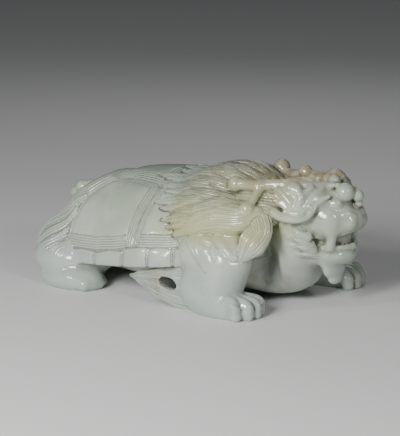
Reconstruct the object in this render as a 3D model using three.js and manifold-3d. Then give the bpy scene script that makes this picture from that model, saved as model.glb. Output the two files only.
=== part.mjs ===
// A dragon turtle carved from one boulder of pale celadon jade. It crouches on four paws with
// its horned head low and its mouth open. A mane is combed back from the head over the front
// of a shell cut into plates, and the tail curls up over the shell's rear edge.
// Millimetres. +X is the way the animal faces, +Y its left, +Z up. The origin is under the
// middle of the carving, on the surface that its paws stand on.
import * as THREE from "three";
import { mergeVertices } from "three/addons/utils/BufferGeometryUtils.js";
import Module from "manifold-3d";

// The figure is squared up in 205 parts of its length, as a carver marks out a boulder. All
// the places and sizes of the carving below are given in these parts.
const LENGTH = 205;
const PART = LENGTH / 205;
const BALANCE = 2.2; // how far the marked-out figure moves forward to stand over the origin

const SIDES = [-1, 1]; // the animal's right and left

// The shell is a dome over an egg-shaped plan.
const SHELL = {
  crown: [-10, 64.5], // x and z of its highest point
  rear: 91, // from the crown back to the rim
  front: 64,
  half: 54,
  fullness: 1.12, // 1 is an ellipsoid, more is more pointed
  rim: 22.4, // height of the rim at the middle
  rimSlope: 0.11, // the rim dips towards the tail
  rimThick: 2,
};

// Its plates. Seams run across the shell. The plates of the spine are six-sided, those of the
// flank reach down from them, and a row of small edge plates follows the rim.
const PLATES = {
  spineSeams: [-90, -49, -5, 34],
  flankSeams: [-62, -10, 30],
  spineHalf: 14, // half-width of the spine row at a seam
  spineBulge: 24, // and where a flank seam meets it
  edgeFall: 0.84, // where the edge plates begin, from 0 at the crown to 1 at the rim
  edgeCount: 7, // on each side
  groove: 0.9, // half-width of the groove between plates
  rise: 1.3,
  spineRise: 1.9,
};

const MANE = {
  middle: [24, 0, 36.5],
  radii: [37, 47, 33.5],
};

const HEAD_MIDDLE = 2; // how far the head stands to the animal's left
const FAR_STEP = 11.5; // how far the left forepaw is set before the right

const wasm = await Module();
wasm.setup();

const at = (x, y, z) => new THREE.Vector3(x + BALANCE, y, z).multiplyScalar(PART);
const mix = THREE.MathUtils.lerp;
const radians = THREE.MathUtils.degToRad;

// A closed geometry as a solid, turned face out if it was mirrored.
function solid(geometry) {
  const bare = geometry.clone();
  bare.deleteAttribute("normal");
  bare.deleteAttribute("uv");
  const merged = mergeVertices(bare, 1e-4);
  const vertProperties = merged.attributes.position.array;
  const build = (triVerts) =>
    new wasm.Manifold(new wasm.Mesh({ numProp: 3, vertProperties, triVerts }));
  const faces = new Uint32Array(merged.index.array);
  const made = build(faces);
  return made.volume() < 0 ? build(faces.reverse()) : made;
}

const fuse = (solids) => solids.reduce((whole, next) => whole.add(next));

// Wraps rows of points, each row one ring, closed by a point at each end.
function wrap(rows, first, final) {
  const count = rows[0].length;
  const points = [first, ...rows.flat(), final];
  const id = (row, j) => 1 + row * count + (j % count);
  const faces = [];
  for (let j = 0; j < count; j++) {
    faces.push(0, id(0, j + 1), id(0, j));
    for (let i = 0; i < rows.length - 1; i++) {
      faces.push(id(i, j), id(i, j + 1), id(i + 1, j));
      faces.push(id(i, j + 1), id(i + 1, j + 1), id(i + 1, j));
    }
    faces.push(id(rows.length - 1, j), id(rows.length - 1, j + 1), points.length - 1);
  }
  return solid(new THREE.BufferGeometry().setFromPoints(points).setIndex(faces));
}

// An egg of three half-widths, tipped by degrees about X, then Y, then Z.
function egg(middle, radii, { tip = [0, 0, 0], around = 12, down = 6 } = {}) {
  const geometry = new THREE.SphereGeometry(PART, around, down);
  geometry.rotateX(Math.PI / 2);
  geometry.scale(...radii);
  const turn = new THREE.Euler(...tip.map(radians), "ZYX");
  geometry.applyMatrix4(new THREE.Matrix4().makeRotationFromEuler(turn));
  geometry.translate(middle.x, middle.y, middle.z);
  return solid(geometry);
}

// A tapering form along a smooth spine. Each station is [place, half-width, half-depth], and
// the depth lies along `out`, a direction or a function of the place. Its ends are rounded.
function limb(stations, { out = new THREE.Vector3(0, 0, 1), around = 6, steps = 4 } = {}) {
  const spine = new THREE.CatmullRomCurve3(stations.map(([place]) => place));
  const last = stations.length - 1;
  const size = (t, column) => {
    const i = Math.min(Math.floor(t * last), last - 1);
    return mix(stations[i][column], stations[i + 1][column], t * last - i) * PART;
  };
  const beyond = (t, push) => {
    const reach = Math.min(size(t, 1), size(t, 2)) * push;
    return spine.getPoint(t).addScaledVector(spine.getTangent(t), reach);
  };
  const ring = (t, swell, push) => {
    const along = spine.getTangent(t);
    const middle = beyond(t, push);
    const up = typeof out === "function" ? out(middle) : out;
    const side = new THREE.Vector3().crossVectors(along, up).normalize();
    const depth = new THREE.Vector3().crossVectors(side, along);
    return Array.from({ length: around }, (_, j) => {
      const a = (2 * Math.PI * (j + 0.5)) / around;
      const place = middle.clone().addScaledVector(side, Math.cos(a) * size(t, 1) * swell);
      return place.addScaledVector(depth, Math.sin(a) * size(t, 2) * swell);
    });
  };
  const rows = [ring(0, 0.6, -0.8)];
  for (let i = 0; i <= steps; i++) rows.push(ring(i / steps, 1, 0));
  rows.push(ring(1, 0.6, 0.8));
  return wrap(rows, beyond(0, -1), beyond(1, 1));
}

// A place on the shell by `round`, the angle from straight ahead, and `fall`, 0 at the crown
// to 1 at the rim, raised by `lift`.
function shellPlace(round, fall, lift = 0) {
  const [crownX, crownZ] = SHELL.crown;
  const steep = (Math.min(fall, 1) * Math.PI) / 2;
  const reach = Math.cos(round) < 0 ? SHELL.rear : SHELL.front;
  const flat = Math.sin(steep);
  const x = crownX + reach * flat * Math.cos(round);
  const rim = SHELL.rim + SHELL.rimSlope * x;
  const z = mix(rim, crownZ, Math.cos(steep) ** SHELL.fullness);
  return at(
    x + flat * lift * Math.cos(round),
    (SHELL.half + lift) * flat * Math.sin(round),
    z + Math.cos(steep) * lift,
  );
}

// The plain dome, turned under at the rim.
function dome() {
  const around = 20;
  const row = (place) =>
    Array.from({ length: around }, (_, j) => place((-2 * Math.PI * j) / around));
  const rows = [0.3, 0.58, 0.82, 1].map((fall) =>
    row((a) => shellPlace(a, fall)),
  );
  const under = (a, shrink) => {
    const place = shellPlace(a, 1, -shrink);
    place.z -= SHELL.rimThick * PART;
    return place;
  };
  rows.push(row((a) => under(a, 1)));
  rows.push(row((a) => under(a, 6)));
  return wrap(rows, at(SHELL.crown[0], 0, SHELL.crown[1]), at(SHELL.crown[0], 0, SHELL.rim));
}

// The shell's surface is worked on flat, as a chart: `fall` from the crown at the angle
// `round`. A plan place turns into a chart place and a chart place into a shell place.
function chart(x, y) {
  const forward = x - SHELL.crown[0];
  const reach = forward < 0 ? SHELL.rear : SHELL.front;
  const flat = new THREE.Vector2(forward / reach, y / SHELL.half);
  const fall = (2 / Math.PI) * Math.asin(Math.min(1, flat.length()));
  return flat.setLength(fall || 1e-6);
}
const polar = (round, fall) => new THREE.Vector2(Math.cos(round), Math.sin(round)).setLength(fall);
const onShell = (place, lift) => shellPlace(place.angle(), place.length(), lift);

// A plate raised on the shell inside an outline of chart places.
function plate(corners, rise, splits = 2) {
  const outline = corners.flatMap((corner, i) => {
    const next = corners[(i + 1) % corners.length];
    return Array.from({ length: splits }, (_, k) => corner.clone().lerp(next, k / splits));
  });
  const centre = new THREE.Vector2();
  for (const place of outline) centre.addScaledVector(place, 1 / outline.length);
  const half = (outline.reduce((sum, place) => sum + place.distanceTo(centre), 0) * 85) /
    outline.length;
  const row = (inset, lift) =>
    outline.map((place) => onShell(place.clone().lerp(centre, inset), lift));
  const groove = PLATES.groove / half;
  const rows = [
    row(groove, -4),
    row(groove + 1 / half, rise * 0.75),
  ];
  if (splits > 1) rows.push(row(0.5, rise));
  return wrap(rows, onShell(centre, -4), onShell(centre, rise));
}

// The spine row of plates, from the tail to under the mane.
function spinePlates() {
  const plates = [];
  for (let i = 0; i < PLATES.spineSeams.length - 1; i++) {
    const [rear, front] = PLATES.spineSeams.slice(i, i + 2);
    const middle = PLATES.flankSeams[i];
    const narrow = i === 0 ? 0.75 : 1; // the last plate tapers to the tail
    const { spineHalf, spineBulge } = PLATES;
    const corners = [
      chart(rear, -spineHalf * narrow),
      chart(middle, -spineBulge),
      chart(front, -spineHalf),
      chart(front, spineHalf),
      chart(middle, spineBulge),
      chart(rear, spineHalf * narrow),
    ];
    plates.push(plate(corners, PLATES.spineRise));
  }
  return plates;
}

// The flank plates of one side, from the spine row down to the edge plates.
function flankPlates(side) {
  const { spineSeams, flankSeams, spineHalf, spineBulge, edgeFall } = PLATES;
  const inner = (x) => chart(x, side * spineBulge);
  const seam = (x) => chart(x, side * spineHalf);
  const outer = (x) => {
    const flat = Math.sin((edgeFall * Math.PI) / 2);
    const forward = (x - SHELL.crown[0]) / (x < SHELL.crown[0] ? SHELL.rear : SHELL.front);
    return chart(x, side * SHELL.half * Math.sqrt(flat ** 2 - forward ** 2));
  };
  const plates = [];
  for (let i = 0; i < flankSeams.length - 1; i++) {
    const [rear, front] = flankSeams.slice(i, i + 2);
    const peak = spineSeams[i + 1];
    const middle = (rear + front) / 2;
    plates.push(
      plate(
        [inner(rear), seam(peak), inner(front), outer(front), outer(middle), outer(rear)],
        PLATES.rise,
      ),
    );
  }
  const rump = polar(side * radians(163), edgeFall);
  plates.push(
    plate([seam(spineSeams[0] + 4), inner(flankSeams[0]), outer(flankSeams[0]), rump], PLATES.rise),
  );
  return plates;
}

// The small edge plates of one side.
function edgePlates(side) {
  const from = radians(52);
  const step = (radians(176) - from) / PLATES.edgeCount;
  return Array.from({ length: PLATES.edgeCount }, (_, i) => {
    const [a, b] = [from + step * i, from + step * (i + 1)].map((angle) => side * angle);
    const corners = [
      polar(a, PLATES.edgeFall),
      polar(b, PLATES.edgeFall),
      polar(b, 1),
      polar(a, 1),
    ];
    return plate(corners, PLATES.rise, 1);
  });
}

// The body under the shell: belly and chest.
function body() {
  return [
    egg(at(-12, 0, 24), [80, 42, 20], { around: 14 }),
    egg(at(38, 0, 26), [32, 34, 21]),
    egg(at(50, 2, 22), [24, 24, 19]),
  ];
}

// Distance from the mane's axis to its surface or the shell's, whichever stands out more, in
// the direction `tilt` from straight up.
function maneReach(x, tilt) {
  const [mx, , mz] = MANE.middle;
  const [rx, ry, rz] = MANE.radii;
  const inside = (distance) => {
    const y = distance * Math.sin(tilt);
    const z = mz + distance * Math.cos(tilt);
    const cape = ((x - mx) / rx) ** 2 + (y / ry) ** 2 + ((z - mz) / rz) ** 2 < 1;
    const place = chart(x, y);
    const shell = onShell(place, 0).z > z * PART && place.length() < 0.99;
    return cape || shell;
  };
  let [low, high] = [0, 80];
  for (let i = 0; i < 20; i++) {
    const middle = (low + high) / 2;
    if (inside(middle)) low = middle;
    else high = middle;
  }
  return low;
}

function onMane(x, tilt, lift = 0) {
  const angle = radians(tilt);
  const reach = maneReach(x, angle) + lift;
  return at(x, reach * Math.sin(angle), MANE.middle[2] + reach * Math.cos(angle));
}

// Locks combed back over the shell: [x of the tip, tilt of the tip, half-width]. The tilt is
// degrees from straight up, and the roots are gathered behind the horns.
const LOCKS = [
  [-15, 0, 7],
  [-9, 17, 6.5],
  [-14, 35, 6],
  [-3, 52, 6],
  [4, 69, 6],
  [16, 84, 6],
];

function mane() {
  const locks = [egg(at(...MANE.middle), MANE.radii, { around: 14, down: 7 })];
  for (const side of SIDES)
    for (const [tipX, tilt, half] of LOCKS) {
      if (side > 0 || tilt > 0) locks.push(lock(tipX, side * tilt, half));
    }
  return locks;
}

// One lock, as a ridge that widens from its root and then narrows to a point. Its sides are
// sunk in the mane.
function lock(tipX, tilt, half) {
  const rootX = 50 - Math.abs(tilt) * 0.04;
  const ring = (t, wide, high) => {
    const x = mix(rootX, tipX, t);
    const middle = mix(tilt * 0.86, tilt, t);
    const spread = ((wide / MANE.radii[2]) * 180) / Math.PI;
    return [
      onMane(x, middle - spread, -2.5),
      onMane(x, middle - spread * 0.35, high),
      onMane(x, middle + spread * 0.35, high),
      onMane(x, middle + spread, -2.5),
    ];
  };
  const rows = [
    ring(0.04, half * 0.8, 0.8),
    ring(0.38, half, 2.4),
    ring(0.72, half * 0.8, 2.2),
    ring(0.97, 1, 1.4),
  ];
  return wrap(rows, onMane(rootX, tilt * 0.86, -1), onMane(tipX, tilt, 0));
}

// The leaf-shaped lock that hangs before a shoulder.
function shoulderLeaf(side) {
  return limb(
    [
      [at(60.5, side * 31, 50), 4, 3.6],
      [at(61.5, side * 36.5, 46), 6.8, 4.8],
      [at(60, side * 41, 39.6), 7.6, 5.2],
      [at(54, side * 45, 30.5), 1.4, 1.4],
    ],
    { out: new THREE.Vector3(0.56, side * 0.8, 0.2) },
  );
}

// The mane's lowest lock, which sweeps over a shoulder, and the fullness above it.
function shoulderLock(side) {
  const sweep = limb(
    [
      [at(56, side * 33.5, 50), 4, 4.5],
      [at(49, side * 38.5, 50), 7.5, 6],
      [at(38, side * 43, 49), 8.2, 5.6],
      [at(27, side * 44.5, 46), 6.6, 4.4],
      [at(16.5, side * 46.5, 41), 1.8, 1.8],
    ],
    { out: new THREE.Vector3(0.3, side, 0.45), steps: 5 },
  );
  return [sweep, egg(at(39, side * 21, 52), [12, 10, 9], { around: 8 })];
}

// A toe from its knuckle down to its tip on the ground.
function toe([x0, y0], [x1, y1], half, high) {
  const middle = at((x0 + x1) / 2, (y0 + y1) / 2, high * 0.42);
  const reach = Math.hypot(x1 - x0, y1 - y0) / 2;
  const turn = (Math.atan2(y1 - y0, x1 - x0) * 180) / Math.PI;
  return egg(middle, [reach, half, high * 0.58], { tip: [0, 16, turn], around: 6, down: 4 });
}

function foreleg(side, step) {
  const leg = [
    limb(
      [
        [at(40, side * 37, 37), 10.5, 15],
        [at(42 + step * 0.2, side * 40.5, 28), 14, 15.5],
        [at(41 + step * 0.6, side * 43, 18), 13, 14],
        [at(37 + step, side * 44, 8), 12, 13.5],
      ],
      { out: new THREE.Vector3(1, 0, 0), around: 8 },
    ),
    egg(at(33, side * 44, 30), [16, 10, 12], { around: 8 }),
    egg(at(31 + step * 0.7, side * 46.5, 12), [12, 8, 13], { around: 8 }),
    egg(at(45 + step, side * 45, 4.6), [19, 12, 8.8], { tip: [0, 4, 0], around: 8, down: 5 }),
  ];
  const tips = [
    [67, 36.5],
    [69, 42],
    [68, 47.8],
    [63, 53.2],
  ];
  tips.forEach(([x, y], i) =>
    leg.push(toe([45 + step, side * (39 + 4 * i)], [x + step, side * y], 3.3, 13 - i)),
  );
  return leg;
}

// The fan of hair at an elbow, pierced by a drilled hole.
function elbowTuft(side) {
  const out = new THREE.Vector3(0, side, 0);
  return limb(
    [
      [at(31, side * 46.5, 11), 13, 2.6],
      [at(19, side * 47.5, 10.5), 11.5, 2.8],
      [at(6, side * 48.5, 11.8), 9.2, 2.4],
      [at(-5, side * 48.5, 13.2), 4.8, 2],
      [at(-13.5, side * 48, 13.4), 1.2, 1.2],
    ],
    { out, steps: 4 },
  );
}

const tuftHole = (side) =>
  egg(at(12, side * 47, 13), [5.8, 12, 3.2], { tip: [0, 12, 0], around: 8, down: 4 });

function hindLeg(side) {
  const leg = [
    egg(at(-66, side * 32, 14.5), [24, 21, 14], { around: 9 }),
    egg(at(-72, side * 23, 20), [22.5, 19, 15.5], { around: 9 }),
    egg(at(-59, side * 43, 5), [20, 12.5, 8.5], { around: 9, down: 6 }),
  ];
  for (let i = 0; i < 3; i++) {
    const front = -37 - 2 * Math.abs(i - 0.7);
    leg.push(toe([-54, side * (40 + 5 * i)], [front, side * (38 + 7 * i)], 4, 9));
  }
  return leg;
}

// The tail comes out under the rim and curls up over the rear plates in a knobbed brush.
function tail() {
  const brush = limb(
    [
      [at(-90, 10, 10), 9, 7],
      [at(-99, 14, 20), 9, 6],
      [at(-97, 17, 32), 8, 5],
      [at(-90, 15, 39), 6, 4.5],
      [at(-84, 12, 42), 3, 3],
    ],
    { out: new THREE.Vector3(-1, 0.4, 0.6), steps: 5 },
  );
  const knobs = [
    [-99.9, 11, 29, 5],
    [-96.5, 21, 35.5, 5],
    [-93, 10, 41, 4.8],
    [-88, 16, 41, 5],
  ];
  const bead = ([x, y, z, r]) => egg(at(x, y, z), [r, r, r], { around: 7, down: 4 });
  return [brush, ...knobs.map(bead)];
}

// A place on the head, measured from the head's own middle.
const onHead = (x, y, z, side = 1) => at(x, HEAD_MIDDLE + side * y, z);

// One side of the throat, which runs on from the cheek down to the chest.
function throat(side) {
  return limb(
    [
      [onHead(65, 13, 44, side), 12, 11],
      [onHead(66, 10, 31, side), 12, 11],
      [onHead(61, 3, 19, side), 13, 12],
    ],
    { out: new THREE.Vector3(1, 0, 0), around: 8, steps: 3 },
  );
}

// Neck, skull, snout and jaw, with the open mouth cut between snout and jaw.
function skull() {
  const bone = [
    limb(
      [
        [at(38, 0, 36), 25, 23],
        [at(54, 1, 40), 20, 21],
        [onHead(70, 0, 43), 18, 18],
      ],
      { around: 10, steps: 2 },
    ),
    egg(onHead(74, 0, 50), [19, 19, 16], { around: 12, down: 7 }),
    egg(onHead(85, 0, 46.5), [14, 12.5, 11], { around: 10 }),
    egg(onHead(76, 0, 30.5), [18, 14.5, 8.5], { tip: [0, 4, 0], around: 10, down: 4 }),
    egg(onHead(92, 0, 49.5), [8.5, 9, 6], { around: 8 }),
    egg(onHead(85, 0, 59), [10, 12, 8], { around: 8, down: 4 }),
    egg(at(60, 11, 61), [19, 10, 7], { around: 8, down: 4 }),
    throat(-1),
    throat(1),
  ];
  const mouth = egg(onHead(98, 0, 38.6), [18, 22, 3.6], { tip: [0, -7, 0], around: 8, down: 4 });
  const hollow = (side) => egg(onHead(80.5, 15, 37.2, side), [4, 5, 1.9], { around: 6, down: 4 });
  return fuse(bone).subtract(mouth).subtract(hollow(-1)).subtract(hollow(1));
}

// A row of teeth in the jaw, the tongue, and the lips that close the mouth at its sides.
function mouthParts() {
  const corner = (side) => egg(onHead(88.8, 12, 40, side), [2.4, 2.4, 6.5], { around: 6, down: 4 });
  const row = [-5, 0, 5].map((y) =>
    egg(onHead(91.5 - y * y * 0.07, y, 34.9), [1.5, 2.3, 2], { around: 6, down: 4 }),
  );
  const tongue = egg(onHead(83, 0, 36.4), [9.5, 7.5, 3.2], { around: 8, down: 4 });
  return [...SIDES.map(corner), ...row, tongue];
}

// One side of the snout and brow: brow knob, cheek, nostril and upper lip.
function face(side) {
  const there = (x, y, z) => onHead(x, y, z, side);
  return [
    egg(there(89.3, 10, 59.6), [4.6, 3.8, 3.6], { around: 8, down: 4 }),
    egg(there(83, 11, 49.5), [11, 7, 9], { around: 8, down: 4 }),
    egg(there(95.6, 5.2, 48.6), [4.4, 4.2, 4.2], { around: 8, down: 4 }),
    egg(there(90, 9, 43.8), [7, 5, 2.6], { around: 8, down: 4 }),
  ];
}

// The ear: a lumpy leaf laid back along the head, in a raised rim.
function ear(side) {
  const there = (x, y, z) => onHead(x, y, z, side);
  const rim = limb(
    [
      [there(53.4, 30, 59), 2.6, 2.6],
      [there(61, 31, 55.8), 3.2, 3.2],
      [there(69.9, 29, 51.9), 2.3, 2.4],
      [there(77.5, 26, 51.2), 1.8, 2],
      [there(82.9, 20, 56.6), 1.5, 1.8],
      [there(87.6, 13.5, 62.6), 1.3, 1.6],
    ],
    { around: 5, steps: 7 },
  );
  return [
    rim,
    egg(there(69, 14.5, 59), [17, 11, 9.5], { tip: [side * -12, 0, 0], around: 12 }),
    egg(there(70.5, 21.5, 65.6), [5.6, 4.5, 4.6], { around: 8, down: 4 }),
  ];
}

// The horns, right then left: a stem from the crown to a fork, and the balls that its two
// branches end in. The left horn stands higher and has a third ball at its fork.
const HORNS = [
  {
    stem: [
      [83, -5, 66],
      [71, -17, 68],
      [54, -25, 66],
    ],
    balls: [
      [39.2, -25.6, 66, 4.8],
      [52.3, -35, 55.4, 4.5],
    ],
  },
  {
    stem: [
      [80, 7, 66],
      [69, 10, 66.6],
      [58, 15, 66.2],
    ],
    balls: [
      [36.2, 24, 66.8, 4.8],
      [52.3, 39, 55.4, 4.5],
      [57.3, 14.5, 68.4, 3.7],
    ],
  },
];

function horn({ stem, balls }) {
  const places = stem.map((place) => at(...place));
  const fork = places[2];
  const bead = ([x, y, z, r]) => egg(at(x, y, z), [r, r, r], { around: 7, down: 4 });
  const branch = ([x, y, z]) => limb([[fork, 3, 3], [at(x, y, z), 2.4, 2.4]], { around: 5, steps: 1 });
  return [
    limb(places.map((place) => [place, 3.1, 3.1]), { around: 5, steps: 3 }),
    ...balls.slice(0, 2).map(branch),
    ...balls.map(bead),
  ];
}

// Knobs on the crown and the brow: [x, y, z, radius].
const KNOBS = [
  [84, 0, 68.2, 4],
  [77, 3, 67.6, 4.4],
  [92.1, -2.6, 65.2, 4.5],
  [94.3, 0.5, 60.8, 4.6],
  [88.5, 7.5, 62.5, 4],
];

// The knobs and the beard, a flap that hangs from the chin.
function crownAndBeard() {
  const beard = limb(
    [
      [at(83.5, 1, 27), 9.5, 5],
      [at(84.6, 1, 20), 7.2, 3.6],
      [at(85.6, 1, 15), 3.2, 2.2],
    ],
    { out: new THREE.Vector3(1, 0, 0.3), steps: 2 },
  );
  return [beard, ...KNOBS.map(([x, y, z, r]) => egg(at(x, y, z), [r, r, r], { around: 7, down: 4 }))];
}

// A block under the ground, to cut the soles flat.
function ground() {
  const deep = 40 * PART;
  const box = new THREE.BoxGeometry(2 * LENGTH, 2 * LENGTH, deep);
  box.translate(0, 0, -deep / 2);
  return solid(box);
}

function carve() {
  const stone = [dome(), ...spinePlates(), ...body(), ...mane(), ...tail(), ...crownAndBeard()];
  for (const side of SIDES) {
    const step = side > 0 ? FAR_STEP : 0;
    stone.push(...flankPlates(side), ...edgePlates(side));
    stone.push(...foreleg(side, step), ...hindLeg(side), elbowTuft(side));
    stone.push(...shoulderLock(side), shoulderLeaf(side), ...face(side), ...ear(side));
  }
  stone.push(...HORNS.flatMap(horn), ...mouthParts());
  const whole = fuse([...stone, skull()]);
  return whole.subtract(tuftHole(-1)).subtract(tuftHole(1)).subtract(ground());
}

// The solid as a geometry with flat-shaded faces.
function toGeometry(whole) {
  const { vertProperties, triVerts, numProp } = whole.getMesh();
  const positions = new Float32Array((vertProperties.length / numProp) * 3);
  for (let i = 0; i < positions.length / 3; i++)
    positions.set(vertProperties.subarray(i * numProp, i * numProp + 3), i * 3);
  return new THREE.BufferGeometry()
    .setAttribute("position", new THREE.BufferAttribute(positions, 3))
    .setIndex(new THREE.BufferAttribute(new Uint32Array(triVerts), 1));
}

const jade = new THREE.MeshStandardMaterial({ color: 0xa9b0a3, roughness: 0.25, metalness: 0 });
const turtle = new THREE.Mesh(toGeometry(carve()), jade);
turtle.name = "dragon_turtle";

const group = new THREE.Group();
group.name = "jade_carving";
group.add(turtle);

export default group;
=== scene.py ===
"""A dragon turtle carved from one piece of pale celadon jade, with a floor and soft lights.

The carving is worked as a carver would: a block of small cells is given the rough forms, the
forms are blended where polishing rounds them, and the fine lines are cut last.
"""

import math

import bpy
import numpy as np
import openvdb
from bpy.props import FloatProperty, FloatVectorProperty, IntProperty, PointerProperty
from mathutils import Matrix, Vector


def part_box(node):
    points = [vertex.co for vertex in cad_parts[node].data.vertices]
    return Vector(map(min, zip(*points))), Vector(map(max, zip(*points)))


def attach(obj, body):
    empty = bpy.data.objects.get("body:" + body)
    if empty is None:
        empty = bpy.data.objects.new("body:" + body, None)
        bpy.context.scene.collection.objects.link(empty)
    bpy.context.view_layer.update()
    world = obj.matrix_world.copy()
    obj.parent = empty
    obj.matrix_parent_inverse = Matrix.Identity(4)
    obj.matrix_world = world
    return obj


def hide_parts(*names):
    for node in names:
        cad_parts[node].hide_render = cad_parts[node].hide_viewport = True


bl_info = {
    "name": "Jade Dragon Turtle",
    "version": (1, 0, 0),
    "blender": (4, 5, 0),
    "location": "3D View > Sidebar > Jade",
    "description": "Carves a jade dragon turtle and sets it on a lit floor",
    "category": "Add Mesh",
}

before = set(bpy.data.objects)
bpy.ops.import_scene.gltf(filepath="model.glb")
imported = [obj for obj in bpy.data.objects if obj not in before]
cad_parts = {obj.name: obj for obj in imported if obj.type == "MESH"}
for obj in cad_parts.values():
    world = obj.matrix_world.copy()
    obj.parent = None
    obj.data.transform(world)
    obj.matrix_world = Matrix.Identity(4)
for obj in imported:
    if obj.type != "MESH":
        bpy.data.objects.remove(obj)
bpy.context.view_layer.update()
NODE = "dragon_turtle"
MM, METRE = 0.001, 1000  # a millimetre in metres, and a metre in millimetres
LOW, HIGH = (np.array(corner, dtype=float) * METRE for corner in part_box(NODE))

# Millimetres, on the solid model's marks: +X the way the animal faces, +Y its left, +Z up.
SIDES = (-1, 1)  # the animal's right and left
BALANCE = 2.2  # the figure is marked out this far behind the frame's origin
CROWN_X, CROWN_Z = -10.0, 64.5  # the highest point of the shell
SHELL_REAR, SHELL_FRONT, SHELL_HALF = 91.0, 64.0, 54.0  # from the crown to the rim
SHELL_FULLNESS = 1.12  # 1 is an ellipsoid, more is more pointed
RIM, RIM_SLOPE, RIM_THICK = 22.4, 0.11, 2.0
CHART_SCALE = (107.0, 82.0, 77.0)  # the shell's arc to the rear, to the front and to a side
MANE_MIDDLE, MANE_RADII = (24.0, 0.0, 36.5), (37.0, 47.0, 33.5)
HEAD_MIDDLE = 2.0  # how far the head stands to the animal's left
FAR_STEP = 11.5  # how far the left forepaw is set before the right

# What each cell belongs to, for the lines that are cut in it. Limbs with strands come after.
PLAIN, SHELL, CAPE, HEAD, HAUNCH = 0, 1, 2, 3, 4
FIRST_LIMB = 10
SPINE_STEPS = 5  # steps along a limb's spine between two stations

# The block of cells.
EDGE_CELLS = 3  # spare cells around the carving
OPEN = 6.0  # the distance given to cells that no form comes near
SLAB_CELLS = 2e6  # cells that are worked at a time
# The painted shade in hollows looks this far out from the surface.
NARROW = (1.0, 2.6)  # how far out a surface looks for other stone that closes it in

# The mane's locks: x of the tip, tilt from upright in degrees, and half-width. The first few lie
# under the rest.
UNDER_LOCKS = 6
LOCKS = (
    (-12, 0, 6.5), (-8, 18, 6.5), (-17, 34, 6), (-10, 51, 6.5), (-5, 68, 6), (4, 81, 5.5),
    (12, 8, 5), (8, 27, 5), (2, 44, 5.5), (6, 60, 5.5), (11, 74, 5),
)

# Knobs as (x, y, z, radius): on the tail, on the crown of the head, and the horns' ends.
TAIL_KNOBS = (
    (-99, 11, 29, 4.4), (-97.5, 20, 35, 4.6), (-99.2, 14, 38.6, 4.8), (-95.5, 13, 42.2, 4.4),
    (-90.5, 14.5, 42.6, 4.4), (-86.5, 18, 41, 4.4),
)
CROWN_KNOBS = (
    (84, 0, 68.4, 3.6), (78.5, 3, 68, 3.8), (73, 5, 67.4, 3.6), (88.5, 7.5, 62.5, 3.6),
    (92.4, -2.6, 64.0, 5.1), (97.2, 2.2, 62, 3.2), (96.4, 4.4, 57.6, 2.4), (87, -3, 60, 5),
    (83, -6, 66.6, 1.8), (86, -5, 67.3, 1.6), (88.3, -3.6, 67.3, 1.5), (81, 5, 70, 2),
)
HORN_BALLS = (
    (39.2, -25.6, 66, 4.4), (53.6, -25.8, 66.2, 3.6), (53.6, -36.6, 56, 4.3),
    (36.2, 24, 66.8, 4.8), (57.3, 14.5, 68.4, 3.7), (52.3, 38.5, 55.4, 4.3),
)

# The shell's plates: a row along the spine, a row down each flank, and small ones at the rim.
SPINE_SEAMS = (-90, -49, -5, 34)
FLANK_SEAMS = (-62, -10, 30)
SPINE_HALF, SPINE_BULGE = 14, 24  # half-width of the spine's row at its seams and between them
TAIL_NARROW = 0.75  # the last plate of the spine tapers to the tail
EDGE_SPAN, EDGE_COUNT = (math.radians(40), math.radians(134)), 7
RIM_FALL = 1.02  # where the edge plates end, just under the rim
SPINE_DOMING, FLANK_DOMING, EDGE_DOMING = (2.6, 1.3, 1.3), 0.9, 0.6
# Runs of border lines: the sides of a plate that a run follows, or None for all of them, how far
# in its first line lies, the gap between lines, and their number.
SPINE_RUNS = ((None, 1.7, 1.45, 4),)
FLANK_RUNS = (((3, 4, 5, 6), 1.6, 1.55, 5), ((0, 1, 2, 7), 1.3, 1.3, 3))
EDGE_RUNS = (((2, 4), 1.2, 1.4, 1),)
# A band of lines that hangs from the spine's row, as x, its half-width and the gap between lines.
BAND_X, BAND_HALF, BAND_GAP = -38, 3.3, 1.3

# Folds of skin on the outside of a shoulder, as (x, z).
FOLDS = (
    ((25, 39), (31.7, 33), (39.5, 25.7)),
    ((34.2, 40.4), (41.4, 39.1), (44.5, 32.4)),
    ((40.2, 42), (46.5, 38.6), (54.3, 32)),
)

# Brown spots in the russet colour: place, reach and share. The one on the crown is brown skin. The
# ones in the mouth and in the recess between the right foreleg and the throat are brown with
# painted shade. One lies round the hole in the right elbow tuft.
BROWN_AND_SHADE_SPOTS = (
    ((94, 0, 43), 7, 0.6), ((7, -48, 13), 9, 0.6),
    ((56, -22, 12), 15, 0.6), ((78, 4, 66), 7, 0.3),
)

# Darker colours: painted shade on the top and far side, veins in the jade, painted shade in the cut
# lines, and painted shade in hollows.
# Painted shade, laid over the top of the shell, mane and head, more on the far side.
TOP_SHADE_COLOR = (0.19, 0.23, 0.22, 1)
VEIN = (0.30, 0.34, 0.26, 1)
# Painted shade in the cut lines.
LINE_SHADE_COLOR = (0.20, 0.23, 0.17, 1)
# Painted shade in hollows, where other stone closes the surface in.
HOLLOW_SHADE_COLOR = (0.13, 0.125, 0.08, 1)

FLOOR = 3.0  # half the floor's width, in metres

# The camera, from the photograph: angles, distance, what it aims at, and pixels.
AZIMUTH, ELEVATION, AWAY = math.radians(35), math.radians(13), 1.0
AIM = (BALANCE * MM, 0, 0.030)
PHOTO_HEIGHT = 436
PIXELS_PER_METRE = 1800  # at the aim
SHIFT = (-3, 14)  # of the photograph's middle from the aim
SENSOR = 36  # in millimetres


def smooth(low, high, value):
    """From 0 at low to 1 at high, level at both."""
    t = np.clip((value - low) / (high - low), 0, 1)
    return t * t * (3 - 2 * t)


# Forms. Each has a box, and a distance that is below zero inside it.

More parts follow.
